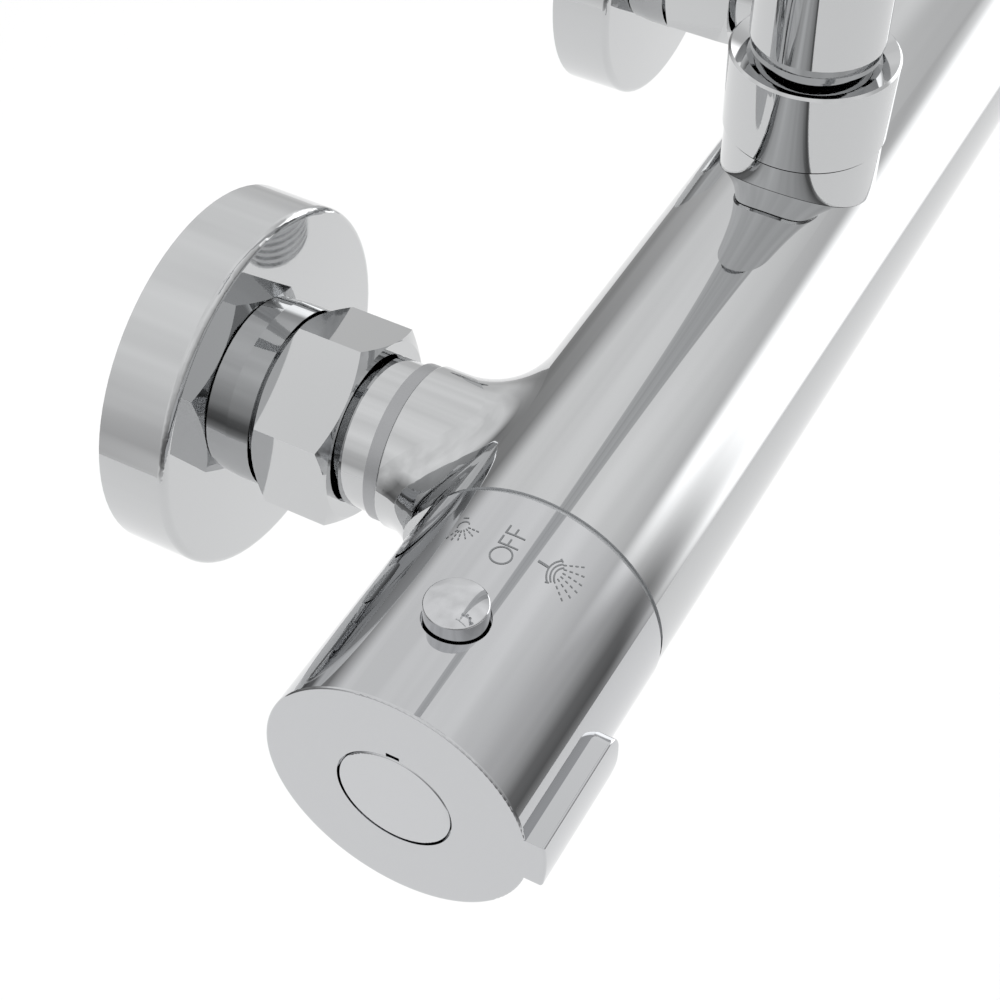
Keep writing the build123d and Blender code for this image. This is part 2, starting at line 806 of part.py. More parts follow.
def handle_insert():
    insert = end_rod(insert_radius, hub_start, insert_end)
    bore = spline_radius + fixed_gap
    insert -= toothed(bore, bore - spline_depth, hub_start, spline_end + seam)
    return insert - end_rod(screw_radius + pass_gap, hub_start, insert_end)


def handle_screw():
    head_end = screw_seat + screw_head_length
    screw = end_rod(screw_head_radius, screw_seat, head_end)
    screw += end_rod(screw_radius, screw_seat - screw_shank_length, screw_seat)
    corner = screw_socket_across_flats / 2 / cos(radians(30))
    socket = extrude(RegularPolygon(corner, 6), screw_socket_depth)
    return screw - Pos(bar_half_length + head_end - screw_socket_depth, bar_y, 0) * Rot(0, 90, 0) * socket


def index_cap():
    cap = end_rod(cap_radius, cap_floor, handle_end)
    return fillet(last_rim(cap, Axis.X), handle_edge)


def handle_button():
    """The push button on top of a handle, with the tongue that reaches back to the turn stop."""
    cap = Pos(0, 0, flange_top) * domed(button_radius, button_top - flange_top, button_dome)
    cap = fillet(last_rim(cap, Axis.Z), button_edge)
    cap += rod("Z", button_radius + button_flange, button_floor, flange_top)
    half = tongue_width / 2
    tongue_top = flange_top - seam
    cap += block((-tongue_reach, -half, button_floor), (0, half, tongue_top))
    nose_low = (-tongue_reach, -half, button_floor - tongue_drop)
    nose = block(nose_low, (tongue_nose - tongue_reach, half, button_floor))
    return Pos(button_x, bar_y, 0) * (cap + nose)


def button_spring():
    foot = button_pad_height + running_gap
    length = button_floor - foot - running_gap
    spring = coil(button_spring_radius, button_spring_wire, length, button_spring_turns)
    return Pos(button_x, bar_y, foot) * spring


def hose_outlet():
    bottom = -bar_radius
    spigot = rod("Z", outlet_spigot_radius, bottom, bottom + outlet_spigot_length, (0, bar_y))
    collar = rod("Z", hose_collar_radius, bottom - hose_collar_length, bottom + bar_radius / 2, (0, bar_y))
    outlet = spigot + (collar - rod("X", bar_radius + fixed_gap, -bar_radius, bar_radius, (bar_y, 0)))
    thread_end = bottom - hose_collar_length - hose_thread_length
    outlet += rod("Z", hose_thread_radius, thread_end, bottom - hose_collar_length, (0, bar_y))
    outlet -= rod("Z", outlet_bore_radius, thread_end, bottom + outlet_spigot_length, (0, bar_y))
    return outlet


def riser_socket():
    socket = rod("Z", boss_radius, bar_radius / 2, boss_top, (0, bar_y))
    socket -= rod("X", bar_radius + fixed_gap, -bar_radius, bar_radius, (bar_y, 0))
    spigot_top = bar_radius + cut_past
    socket += rod("Z", outlet_spigot_radius, bar_radius - outlet_spigot_length, spigot_top, (0, bar_y))
    socket += rod("Z", boss_thread_radius, boss_top, boss_thread_top, (0, bar_y))
    socket -= rod("Z", outlet_bore_radius, bar_radius - outlet_spigot_length, boss_thread_top, (0, bar_y))
    recess_floor = boss_thread_top - tail_spigot_length
    return socket - rod("Z", tail_spigot_radius + fixed_gap, recess_floor, boss_thread_top, (0, bar_y))


def riser_nut():
    bottom = boss_top + seam
    profile = [(bottom, boss_thread_radius + fixed_gap), (bottom, sleeve_bottom_radius - sleeve_bevel),
               (bottom + sleeve_bevel, sleeve_bottom_radius), (sleeve_top - sleeve_edge, sleeve_radius),
               (sleeve_top, sleeve_radius - sleeve_edge), (sleeve_top - sleeve_dish, sleeve_mouth_radius),
               (sleeve_top - sleeve_recess, tail_neck_radius + fixed_gap),
               (sleeve_top - sleeve_shelf, tail_neck_radius + fixed_gap),
               (sleeve_top - sleeve_shelf, boss_thread_radius + fixed_gap)]
    return Pos(0, bar_y, 0) * turned(profile)


def riser_tail():
    flange_start = boss_thread_top + fixed_gap
    flange_end = sleeve_top - sleeve_shelf - fixed_gap
    spigot_start = boss_thread_top - tail_spigot_length + seam
    ring_top = tail_ring_bottom + tail_ring_width
    plug_top = riser_bottom + riser_plug_reach
    plug = riser_radius - riser_wall - fixed_gap
    tail = rod("Z", tail_spigot_radius, spigot_start, flange_start, (0, bar_y))
    tail += rod("Z", boss_thread_radius - seam, flange_start, flange_end, (0, bar_y))
    tail += rod("Z", tail_neck_radius, flange_end, riser_bottom, (0, bar_y))
    tail += rod("Z", tail_ring_radius, tail_ring_bottom, ring_top, (0, bar_y))
    tail += rod("Z", plug, riser_bottom, plug_top, (0, bar_y))
    groove = (tail_groove_height - ring_section, tail_groove_height + ring_section)
    tail -= pipe("Z", tail_spigot_radius + cut_past, tail_spigot_radius - 2 * ring_section, *groove, (0, bar_y))
    return tail - rod("Z", outlet_bore_radius, spigot_start, plug_top, (0, bar_y))


def riser_lower():
    top = riser_joint_height - riser_joint_ring / 2
    return pipe("Z", riser_radius, riser_radius - riser_wall, riser_bottom, top, (0, bar_y))


def riser_joint():
    plug = riser_radius - riser_wall - fixed_gap
    half = riser_joint_ring / 2
    low = riser_joint_height - riser_plug_reach
    joint = rod("Z", plug, low, riser_joint_height + riser_plug_reach, (0, bar_y))
    low = riser_joint_height - half
    joint += rod("Z", riser_joint_ring_radius, low, riser_joint_height + half, (0, bar_y))
    return joint - rod("Z", riser_plug_bore, 0, 2 * riser_joint_height, (0, bar_y))


def riser_upper():
    bottom = riser_joint_height + riser_joint_ring / 2
    corners = [(0, bar_y, bottom), (0, bar_y, arm_height), (0, arm_y, arm_height), (0, arm_y, arm_end)]
    route = FilletPolyline(*corners, radius=[arm_bend, arm_end_bend])
    start = Plane(origin=route @ 0, z_dir=route % 0)
    outside = sweep(start * Circle(riser_radius), path=route)
    inside = sweep(start * Circle(riser_radius - riser_wall), path=route)
    return outside - inside


def bracket_plate():
    plate = rod("Y", plate_radius, -plate_thickness, 0, (0, bracket_height))
    plate += rod("Y", plate_boss_radius, -plate_thickness - plate_boss_length, 0, (0, bracket_height))
    for way in (-1, 1):
        place = (0, bracket_height + way * plate_hole_spacing / 2)
        plate -= rod("Y", plate_hole_radius, -plate_thickness, 0, place)
    return plate


def bracket_arm():
    start = -plate_thickness - seam
    half = bracket_ring_height / 2
    arm = rod("Y", bracket_arm_radius, bar_y + riser_radius, start, (0, bracket_height))
    arm += rod("Z", bracket_ring_radius, bracket_height - half, bracket_height + half, (0, bar_y))
    socket_end = -plate_thickness - plate_boss_length - seam
    arm -= rod("Y", plate_boss_radius + fixed_gap, socket_end, start, (0, bracket_height))
    arm -= rod("Z", riser_radius + fixed_gap, bracket_height - half, bracket_height + half, (0, bar_y))
    grub_bottom = bracket_height - bracket_arm_radius - cut_past
    return arm - rod("Z", grub_radius + fixed_gap, grub_bottom, bracket_height, (0, -grub_distance))


def bracket_cover():
    cup = domed(cover_radius, cover_depth, cover_dome)
    cup -= domed(cover_radius - cover_wall, cover_depth - cover_wall, cover_dome)
    cup -= rod("Z", bracket_arm_radius + fixed_gap, 0, 2 * cover_depth)
    return Pos(0, 0, bracket_height) * Rot(90, 0, 0) * cup


def bracket_screw():
    start = bracket_height - bracket_arm_radius + seam
    return rod("Z", grub_radius, start, bracket_height - plate_boss_radius, (0, -grub_distance))


def ear_holes(shape, half_width):
    """The shape without the bore of the cradle's pivot."""
    bore = pivot_radius + running_gap
    reach = half_width + cut_past
    return shape - rod("X", bore, -reach, reach, (pivot_y, slider_height))


def slider():
    half = slider_length / 2
    body = rod("Z", slider_radius, slider_height - half, slider_height + half, (0, bar_y))
    body = fillet(body.edges().filter_by(GeomType.CIRCLE), slider_edge)
    outer = ear_start + ear_thickness
    for way in (-1, 1):
        low, high = sorted((way * ear_start, way * outer))
        body += rod("X", ear_radius, low, high, (pivot_y, slider_height))
        body += block((low, pivot_y, slider_height - ear_radius), (high, bar_y, slider_height + ear_radius))
    bore = riser_radius + running_gap
    body -= rod("Z", bore, slider_height - half, slider_height + half, (0, bar_y))
    return ear_holes(body, outer)


def slider_knob():
    outer = ear_start + ear_thickness
    knob = rod("X", knob_radius, outer + seam, outer + seam + knob_length, (pivot_y, slider_height))
    for step in range(knob_grips):
        angle = 2 * pi * step / knob_grips
        place = (pivot_y + knob_radius * cos(angle), slider_height + knob_radius * sin(angle))
        knob -= rod("X", knob_grip_depth, outer, outer + seam + knob_length - knob_face, place)
    return knob + rod("X", pivot_radius, -outer, outer + seam, (pivot_y, slider_height))


def cup_frame():
    """Where the holder's cup is, leaning to the room."""
    return Pos(0, cup_y, slider_height) * Rot(handset_tilt, 0, 0)


def cone(radius_gap):
    """The taper that seats the hand shower, in the cup's frame."""
    low = -cup_length / 2
    return turned([(low, 0), (low, cone_bottom_radius + radius_gap),
                   (low + cone_length, cone_top_radius + radius_gap), (low + cone_length, 0)])


def handset_cradle():
    half = cup_length / 2
    cup = rod("Z", cup_radius, -half, half)
    cup = cup_frame() * fillet(cup.edges().filter_by(GeomType.CIRCLE), cup_edge)
    tongue = rod("X", ear_radius, -tongue_plate / 2, tongue_plate / 2, (pivot_y, slider_height))
    low = (-tongue_plate / 2, cup_y, slider_height - ear_radius)
    tongue += block(low, (tongue_plate / 2, pivot_y, slider_height + ear_radius))
    cradle = cup + tongue
    hollow = cone(running_gap) + block((-cup_slot / 2, -2 * cup_radius, -half), (cup_slot / 2, 0, half))
    return ear_holes(cradle - cup_frame() * hollow, tongue_plate)


def spray_head(radius, rim, crown, wall):
    """A domed shower head with its open chamber and a ledge for the spray plate, facing down."""
    head = domed(radius, rim, crown)
    head = fillet(last_rim(head, Axis.Z), wall)
    plate_back = plate_inset + spray_plate_thickness
    head -= domed(radius - wall - plate_ledge, rim - wall, crown)
    return head - rod("Z", radius - wall, 0, plate_back)


def nozzle_places(rings, step_out):
    """Where the nozzles stand on a spray plate."""
    places = []
    for ring in range(1, rings + 1):
        for step in range(6 * ring):
            angle = 2 * pi * step / (6 * ring)
            places.append((ring * step_out * cos(angle), ring * step_out * sin(angle)))
    return places


def spray_plate(radius, places):
    back = plate_inset + spray_plate_thickness
    plate = rod("Z", radius, plate_inset, back)
    holes = [rod("Z", nozzle_radius + fixed_gap, plate_inset, back, place) for place in places]
    return plate - holes


def nozzle_mat_with_nozzles(radius, places):
    """The rubber mat behind a spray plate, with a nozzle through each of its holes."""
    back = plate_inset + spray_plate_thickness
    mat = rod("Z", radius, back, back + nozzle_mat)
    return mat + [rod("Z", nozzle_radius, plate_inset - nozzle_proud, back, place) for place in places]


def handset_head():
    """Where the hand shower's head is: its face looks at the room and down."""
    back = throat_radius + head_setback + head_radius * sin(radians(head_tilt))
    return cup_frame() * Pos(0, -back, handset_length) * Rot(head_tilt - 90, 0, 0)


def handset():
    bottom = -cup_length / 2
    top = handset_length - head_radius * cos(radians(head_tilt)) + throat_lap
    thread_bottom = bottom - handset_thread_length
    grip = cone(0) + rod("Z", handset_thread_radius, thread_bottom, bottom)
    cone_top = bottom + cone_length
    grip += turned([(cone_top, 0), (cone_top, cone_top_radius), (grip_height, grip_radius),
                    (top, throat_radius), (top, 0)])
    grip += Pos(0, 0, top) * Sphere(throat_radius)
    head = spray_head(head_radius, head_rim, head_crown, head_wall)
    outside = domed(head_radius, head_rim, head_crown)
    shell = cup_frame() * grip - handset_head() * outside + handset_head() * head
    return shell - cup_frame() * rod("Z", handset_bore_radius, thread_bottom, top)


def handset_plate():
    places = nozzle_places(handset_nozzle_rings, handset_nozzle_step)
    return handset_head() * spray_plate(head_radius - head_wall - fixed_gap, places)


def handset_nozzles():
    places = nozzle_places(handset_nozzle_rings, handset_nozzle_step)
    mat_radius = head_radius - head_wall - plate_ledge - pass_gap
    return handset_head() * nozzle_mat_with_nozzles(mat_radius, places)


def arm_ball():
    collar_bottom = arm_end - ball_collar_length
    plug = riser_radius - riser_wall - running_gap
    ball = rod("Z", plug, arm_end - seam, arm_end + ball_plug_length, (0, arm_y))
    ball += rod("Z", riser_radius, collar_bottom, arm_end - seam, (0, arm_y))
    ball += rod("Z", ball_neck_radius, ball_height, collar_bottom, (0, arm_y))
    ball += Pos(0, arm_y, ball_height) * Sphere(ball_radius)
    return ball - rod("Z", ball_bore_radius, ball_height - ball_radius, arm_end + ball_plug_length, (0, arm_y))


def ball_nut():
    low = ball_height - ball_nut_bottom
    high = ball_height + ball_nut_top
    nut = rod("Z", ball_nut_radius, low, high, (0, arm_y))
    nut -= rod("Z", rose_boss_radius + fixed_gap, low, ball_height - ball_seat_top, (0, arm_y))
    return nut - Pos(0, arm_y, ball_height) * Sphere(ball_radius + running_gap)


def rose_place():
    """Where the overhead shower's face is."""
    return Pos(0, arm_y, ball_height - rose_drop)


def rose():
    head = spray_head(rose_radius, rose_rim, rose_crown, rose_wall)
    top = rose_drop - ball_seat_top - seam
    head += rod("Z", rose_boss_radius, rose_rim + rose_crown - rose_wall, top)
    head -= Pos(0, 0, rose_drop) * Sphere(ball_radius + running_gap)
    return rose_place() * (head - rod("Z", ball_bore_radius, rose_rim, top))


def rose_plate():
    places = nozzle_places(rose_nozzle_rings, rose_nozzle_step)
    return rose_place() * spray_plate(rose_radius - rose_wall - fixed_gap, places)


def rose_nozzles():
    places = nozzle_places(rose_nozzle_rings, rose_nozzle_step)
    mat_radius = rose_radius - rose_wall - plate_ledge - pass_gap
    return rose_place() * nozzle_mat_with_nozzles(mat_radius, places)


pieces = {
    "valve_body": valve_body(), "inlet_tails": inlet_tails(), "union_nuts": union_nuts(),
    "filter_washers": filter_washers(), "s_connectors": s_connectors(), "wall_flanges": wall_flanges(),
    "check_valves": check_valves(), "check_poppet_right": check_poppet(),
    "check_poppet_left": mirrored(check_poppet()), "check_spring_right": check_spring(),
    "check_spring_left": mirrored(check_spring()), "diverter_seal": diverter_seal(),
    "diverter_fixed_disc": diverter_fixed_disc(), "diverter_moving_disc": diverter_moving_disc(),
    "diverter_housing": diverter_housing(), "diverter_spindle": diverter_spindle(),
    "retaining_nuts": retaining_nuts(), "stop_rings": stop_rings(), "o_rings": o_rings(),
    "thermostat_housing": thermostat_housing(), "thermostat_shuttle": thermostat_shuttle(),
    "wax_element": wax_element(), "thermostat_spring": thermostat_spring(),
    "thermostat_adjuster": thermostat_adjuster(), "temperature_spindle": temperature_spindle(),
    "glide_rings": glide_rings(), "temperature_handle": handle(), "flow_handle": mirrored(handle()),
    "temperature_handle_insert": handle_insert(), "flow_handle_insert": mirrored(handle_insert()),
    "temperature_handle_screw": handle_screw(), "flow_handle_screw": mirrored(handle_screw()),
    "temperature_index_cap": index_cap(), "flow_index_cap": mirrored(index_cap()),
    "safety_button": handle_button(), "eco_button": mirrored(handle_button()),
    "safety_button_spring": button_spring(), "eco_button_spring": mirrored(button_spring()),
    "hose_outlet": hose_outlet(), "riser_socket": riser_socket(), "riser_nut": riser_nut(),
    "riser_tail": riser_tail(), "riser_lower": riser_lower(), "riser_joint": riser_joint(),
    "riser_upper": riser_upper(), "bracket_plate": bracket_plate(), "bracket_arm": bracket_arm(),
    "bracket_cover": bracket_cover(), "bracket_screw": bracket_screw(), "slider": slider(),
    "slider_knob": slider_knob(), "handset_cradle": handset_cradle(), "handset": handset(),
    "handset_plate": handset_plate(), "handset_nozzles": handset_nozzles(), "arm_ball": arm_ball(),
    "ball_nut": ball_nut(), "rose": rose(), "rose_plate": rose_plate(), "rose_nozzles": rose_nozzles(),
}
os.makedirs("parts", exist_ok=True)
for name, piece in pieces.items():
    export_step(piece, f"parts/{name}.step")
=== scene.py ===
import math

import bmesh
import bpy
from mathutils import Matrix, Vector


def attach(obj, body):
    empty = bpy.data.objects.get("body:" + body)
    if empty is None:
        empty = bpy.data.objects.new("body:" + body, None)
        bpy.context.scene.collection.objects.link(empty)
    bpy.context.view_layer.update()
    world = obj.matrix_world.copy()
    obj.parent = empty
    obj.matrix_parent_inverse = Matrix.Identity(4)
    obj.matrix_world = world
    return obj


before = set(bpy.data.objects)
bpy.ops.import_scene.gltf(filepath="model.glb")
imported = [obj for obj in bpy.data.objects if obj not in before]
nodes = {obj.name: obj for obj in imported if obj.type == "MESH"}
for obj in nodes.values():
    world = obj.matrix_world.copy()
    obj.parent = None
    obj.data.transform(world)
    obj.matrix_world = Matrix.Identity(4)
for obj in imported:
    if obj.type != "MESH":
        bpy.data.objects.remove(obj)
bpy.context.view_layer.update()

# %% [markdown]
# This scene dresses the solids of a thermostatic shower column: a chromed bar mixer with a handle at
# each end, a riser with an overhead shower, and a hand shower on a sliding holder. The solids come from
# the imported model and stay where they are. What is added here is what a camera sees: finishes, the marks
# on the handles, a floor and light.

MM = 0.001

# %% [markdown]
# Colours are written as the hex values that a colour picker shows, which are sRGB. Blender's shaders
# count in linear light, so one function turns the one into the other. A second function adds one node
# to a material or to the world, with its settings and its links, which keeps the recipes below short.

# %% Two helpers: linear colour, and one node with its settings and links
def linear(hex_colour, alpha=1.0):
    """An sRGB hex value as linear red, green, blue and alpha."""
    channels = [int(hex_colour[i:i + 2], 16) / 255 for i in (1, 3, 5)]
    light = [c / 12.92 if c <= 0.04045 else ((c + 0.055) / 1.055) ** 2.4 for c in channels]
    return (*light, alpha)


def add(tree, kind, settings=None, values=None, links=None):
    """One node: its settings, the values of its input sockets, and what is linked into them."""
    node = tree.nodes.new(kind)
    for name, setting in (settings or {}).items():
        setattr(node, name, setting)
    for name, value in (values or {}).items():
        node.inputs[name].default_value = value
    for name, source in (links or {}).items():
        tree.links.new(source, node.inputs[name])
    return node


def surface(name, colour, **values):
    """A new material: its node tree and its shader, with plain numbers set on the shader's sockets."""
    material = bpy.data.materials.new(name)
    material.use_nodes = True
    shader = material.node_tree.nodes["Principled BSDF"]
    shader.inputs["Base Color"].default_value = linear(colour)
    for socket, value in values.items():
        shader.inputs[socket.replace("_", " ")].default_value = value
    return material, material.node_tree, shader


print("mid grey in linear light", linear("#808080")[0])

# %% [markdown]
# Chrome plating is a few tenths of a micrometre of chromium over nickel. It copies the polish of what
# lies under it and reflects a little under 60 percent of white light, so a chrome face in front of
# white paper shows as a light grey. It could be a plain mirror, but a real plated face has faint waves
# left by buffing and a thin film of wiping marks. Noise with cells of a few millimetres bends the
# surface by almost nothing, and a finer one varies the roughness between the wiped and the clean parts.

# %% Chrome on buffed brass, on cast zinc and on moulded ABS
def chrome(name, colour, wave_mm, wave_height_mm, roughness):
    """Chrome plating whose waves are left by what lies under it."""
    material, tree, shader = surface(name, colour, Metallic=1.0, Roughness=roughness)
    place = add(tree, "ShaderNodeTexCoord").outputs["Object"]
    waves = add(tree, "ShaderNodeTexNoise", values={"Scale": 1 / (wave_mm * MM), "Detail": 1.0},
                links={"Vector": place})
    bump = add(tree, "ShaderNodeBump", values={"Strength": 1.0, "Distance": wave_height_mm * MM},
               links={"Height": waves.outputs["Fac"]})
    tree.links.new(bump.outputs["Normal"], shader.inputs["Normal"])
    film = add(tree, "ShaderNodeTexNoise", values={"Scale": 1 / (9 * MM), "Detail": 3.0},
               links={"Vector": place})
    wiped = add(tree, "ShaderNodeMapRange",
                values={"From Min": 0.35, "From Max": 0.7, "To Min": roughness, "To Max": roughness + 0.03},
                links={"Value": film.outputs["Fac"]})
    tree.links.new(wiped.outputs["Result"], shader.inputs["Roughness"])
    return material


chrome_on_brass = chrome("chrome_on_buffed_brass", "#C6C7C8", 14, 0.004, 0.02)
chrome_on_zinc = chrome("chrome_on_cast_zinc", "#C5C6C8", 11, 0.004, 0.02)
chrome_on_abs = chrome("chrome_on_moulded_abs", "#C8C9CB", 18, 0.01, 0.03)
print("chrome reflects", round(linear("#C6C7C8")[1], 2), "of green light")

# %% [markdown]
# Each inlet of the bar has a narrow collar that was left as turned and then plated, so it is matt where
# the rest is bright. The collar lies between two distances from the wall, and nothing else of the bar
# does, so comparing one coordinate with the middle of that range is enough to find it.

# %% The matt collar on the inlets of the bar
BAND_MIDDLE_MM, BAND_HALF_MM = -37.25, 1.1
chrome_with_matt_collar = chrome_on_brass.copy()
chrome_with_matt_collar.name = "chrome_with_matt_collar"
recipe = chrome_with_matt_collar.node_tree
plated = recipe.nodes["Principled BSDF"]
bright_roughness = plated.inputs["Roughness"].links[0].from_socket
where = add(recipe, "ShaderNodeSeparateXYZ",
            links={0: add(recipe, "ShaderNodeTexCoord").outputs["Object"]})
on_collar = add(recipe, "ShaderNodeMath", settings={"operation": "COMPARE"}, links={0: where.outputs[1]})
on_collar.inputs[1].default_value = BAND_MIDDLE_MM * MM
on_collar.inputs[2].default_value = BAND_HALF_MM * MM
matt = add(recipe, "ShaderNodeMix", values={"B": 0.36}, links={"Factor": on_collar.outputs[0], "A": bright_roughness})
recipe.links.new(matt.outputs["Result"], plated.inputs["Roughness"])
darker = add(recipe, "ShaderNodeMix", settings={"data_type": "RGBA"},
             values={"A": linear("#C6C7C8"), "B": linear("#A9AAAC")}, links={"Factor": on_collar.outputs[0]})
recipe.links.new(darker.outputs["Result"], plated.inputs["Base Color"])
print("matt collar", 2 * BAND_HALF_MM, "mm wide")

# %% [markdown]
# The parts inside are not plated. Brass turned on a lathe is a warm yellow with fine rings, because the
# tool leaves a groove at each turn. The rings run round the part's own axis, so a wave along that axis
# draws them. Real feed marks are about 0.1 mm apart; they are drawn 0.4 mm apart here so that a render
# shows them at all. Drawn steel wire and screws get the same treatment in grey.

# %% Turned brass, copper and drawn steel
def turned_metal(name, colour, roughness, axis, ring_mm):
    """Bare metal with the fine rings of a lathe tool round an axis."""
    material, tree, shader = surface(name, colour, Metallic=1.0, Roughness=roughness)
    place = add(tree, "ShaderNodeTexCoord").outputs["Object"]
    rings = add(tree, "ShaderNodeTexWave",
                settings={"wave_type": "BANDS", "bands_direction": axis},
                values={"Scale": 1 / (ring_mm * MM * 20 / math.pi), "Distortion": 0.4, "Detail": 2.0},
                links={"Vector": place})
    bump = add(tree, "ShaderNodeBump", values={"Strength": 0.5, "Distance": 0.02 * MM},
               links={"Height": rings.outputs["Fac"]})
    tree.links.new(bump.outputs["Normal"], shader.inputs["Normal"])
    stain = add(tree, "ShaderNodeTexNoise", values={"Scale": 1 / (6 * MM), "Detail": 4.0},
                links={"Vector": place})
    dull = add(tree, "ShaderNodeMapRange", values={"To Min": roughness - 0.06, "To Max": roughness + 0.1},
               links={"Value": stain.outputs["Fac"]})
    tree.links.new(dull.outputs["Result"], shader.inputs["Roughness"])
    return material


turned_brass_x = turned_metal("turned_brass_along_bar", "#D9B56B", 0.26, "X", 0.4)
turned_copper = turned_metal("drawn_copper", "#D98A62", 0.3, "X", 0.5)
drawn_steel = turned_metal("drawn_stainless_steel", "#B9BABC", 0.3, "X", 0.3)

# %% [markdown]
# The plastics inside are chosen for what they do: acetal for what slides, glass-filled nylon for the
# cartridge housings, and ABS for what is seen. Acetal is waxy and slightly see-through at its edges.
# Nylon with glass fibre has a dull, faintly mottled skin. Both get their colour variation from noise at
# the size of the mottling, about a millimetre.

# %% Moulded plastics, ceramic discs and rubbers
def moulded(name, light_hex, dark_hex, roughness, mottle_mm, dent_mm, **values):
    """A moulded or pressed material with a mottled colour and a faintly uneven skin."""
    material, tree, shader = surface(name, light_hex, Roughness=roughness, **values)
    place = add(tree, "ShaderNodeTexCoord").outputs["Object"]
    mottle = add(tree, "ShaderNodeTexNoise", values={"Scale": 1 / (mottle_mm * MM), "Detail": 5.0},
                 links={"Vector": place})
    tint = add(tree, "ShaderNodeMix", settings={"data_type": "RGBA"},
               values={"A": linear(dark_hex), "B": linear(light_hex)},
               links={"Factor": mottle.outputs["Fac"]})
    tree.links.new(tint.outputs["Result"], shader.inputs["Base Color"])
    bump = add(tree, "ShaderNodeBump", values={"Strength": 0.6, "Distance": dent_mm * MM},
               links={"Height": mottle.outputs["Fac"]})
    tree.links.new(bump.outputs["Normal"], shader.inputs["Normal"])
    return material


white_acetal = moulded("moulded_white_acetal", "#ECECE8", "#DEDED8", 0.38, 1.2, 0.01, IOR=1.48)
grey_acetal = moulded("moulded_grey_acetal", "#B4B6B8", "#A6A8AA", 0.35, 1.2, 0.01, IOR=1.48)
black_nylon = moulded("glass_filled_nylon", "#35373A", "#1F2022", 0.5, 0.8, 0.03, IOR=1.53)
grey_abs = moulded("moulded_grey_abs", "#C3C5C7", "#B8BABC", 0.3, 1.6, 0.012, IOR=1.53)
red_abs = moulded("moulded_red_abs", "#B3201C", "#9C1915", 0.22, 1.5, 0.008, IOR=1.53)
alumina = moulded("lapped_alumina", "#F1F0EA", "#E6E5DE", 0.18, 0.5, 0.002, IOR=1.76)
black_rubber = moulded("black_epdm_rubber", "#1B1B1C", "#111112", 0.62, 0.7, 0.02, IOR=1.5)
grey_silicone = moulded("grey_silicone", "#8C9196", "#7F8489", 0.45, 0.9, 0.01, IOR=1.43)

# %% [markdown]
# A thread is a groove wound round a pipe. The solids have plain cylinders there, so the groove is drawn
# by a bump: the height goes up and down along the axis, and its start shifts with the angle, which
# makes one groove that winds instead of separate rings. A pipe thread of this size has a pitch of
# 1.814 mm. The bump only acts between two heights, so the rest of the part stays smooth.

# %% A pipe thread, as a bump on chrome or brass
PITCH_MM = 1.814


def threaded(material, name, axis, centre_mm, span_mm, radius_mm, tilt=0.0):
    """A copy of a material with a thread wound round an axis through centre, between two places."""
    copy = material.copy()
    copy.name = name
    tree = copy.node_tree
    shader = tree.nodes["Principled BSDF"]
    along = "XYZ".index(axis)
    across = [i for i in range(3) if i != along]
    place = add(tree, "ShaderNodeTexCoord").outputs["Object"]
    right_half = add(tree, "ShaderNodeVectorMath", settings={"operation": "WRAP"}, links={0: place})
    right_half.inputs[1].default_value = (2 * centre_mm[0] * MM or 1, 2, 2)
    right_half.inputs[2].default_value = (0 if centre_mm[0] else -1, -2, -2)
    shifted = add(tree, "ShaderNodeVectorMath", settings={"operation": "SUBTRACT"}, links={0: right_half.outputs[0]})
    shifted.inputs[1].default_value = [c * MM for c in centre_mm]
    moved = add(tree, "ShaderNodeVectorRotate", settings={"rotation_type": "X_AXIS"},
                values={"Angle": math.radians(-tilt)}, links={"Vector": shifted.outputs[0]})
    apart = add(tree, "ShaderNodeSeparateXYZ", links={0: moved.outputs[0]})
    angle = add(tree, "ShaderNodeMath", settings={"operation": "ARCTAN2"},
                links={0: apart.outputs[across[0]], 1: apart.outputs[across[1]]})
    turn = add(tree, "ShaderNodeMath", settings={"operation": "MULTIPLY_ADD"},
               links={0: apart.outputs[along], 2: angle.outputs[0]})
    turn.inputs[1].default_value = 2 * math.pi / (PITCH_MM * MM)
    wave = add(tree, "ShaderNodeMath", settings={"operation": "SINE"}, links={0: turn.outputs[0]})
    masks = []
    for low, high in (span_mm, (radius_mm - 0.6, radius_mm + 0.6)):
        masks.append((low * MM, high * MM))
    flat = add(tree, "ShaderNodeVectorMath", settings={"operation": "MULTIPLY"}, links={0: moved.outputs[0]})
    flat.inputs[1].default_value = [0 if i == along else 1 for i in range(3)]
    reach = add(tree, "ShaderNodeVectorMath", settings={"operation": "LENGTH"}, links={0: flat.outputs[0]})
    height = wave.outputs[0]
    for value, (low, high) in ((apart.outputs[along], masks[0]), (reach.outputs["Value"], masks[1])):
        near = add(tree, "ShaderNodeMath", settings={"operation": "COMPARE"}, links={0: value})
        near.inputs[1].default_value = (low + high) / 2
        near.inputs[2].default_value = (high - low) / 2
        height = add(tree, "ShaderNodeMath", settings={"operation": "MULTIPLY"},
                     links={0: height, 1: near.outputs[0]}).outputs[0]
    groove = add(tree, "ShaderNodeBump", values={"Strength": 1.0, "Distance": 0.45 * MM},
                 links={"Height": height})
    tree.links.new(groove.outputs["Normal"], shader.inputs["Normal"])
    return copy


bar_y = -68.8
chrome_with_hose_thread = threaded(chrome_on_brass, "chrome_with_hose_thread", "Z",
                                   (0, bar_y, 0), (-35.8, -26.4), 10.48)
chrome_with_wall_thread = threaded(chrome_on_brass, "chrome_with_wall_thread", "Y",
                                   (75, 0, -8), (-2.4, 10.8), 10.48)
abs_with_hose_thread = threaded(chrome_on_abs, "abs_with_hose_thread", "Z",
                                (0, bar_y - 64, 400), (-24.8, -13.4), 10.48, tilt=15)
print("threads of pitch", PITCH_MM, "mm")

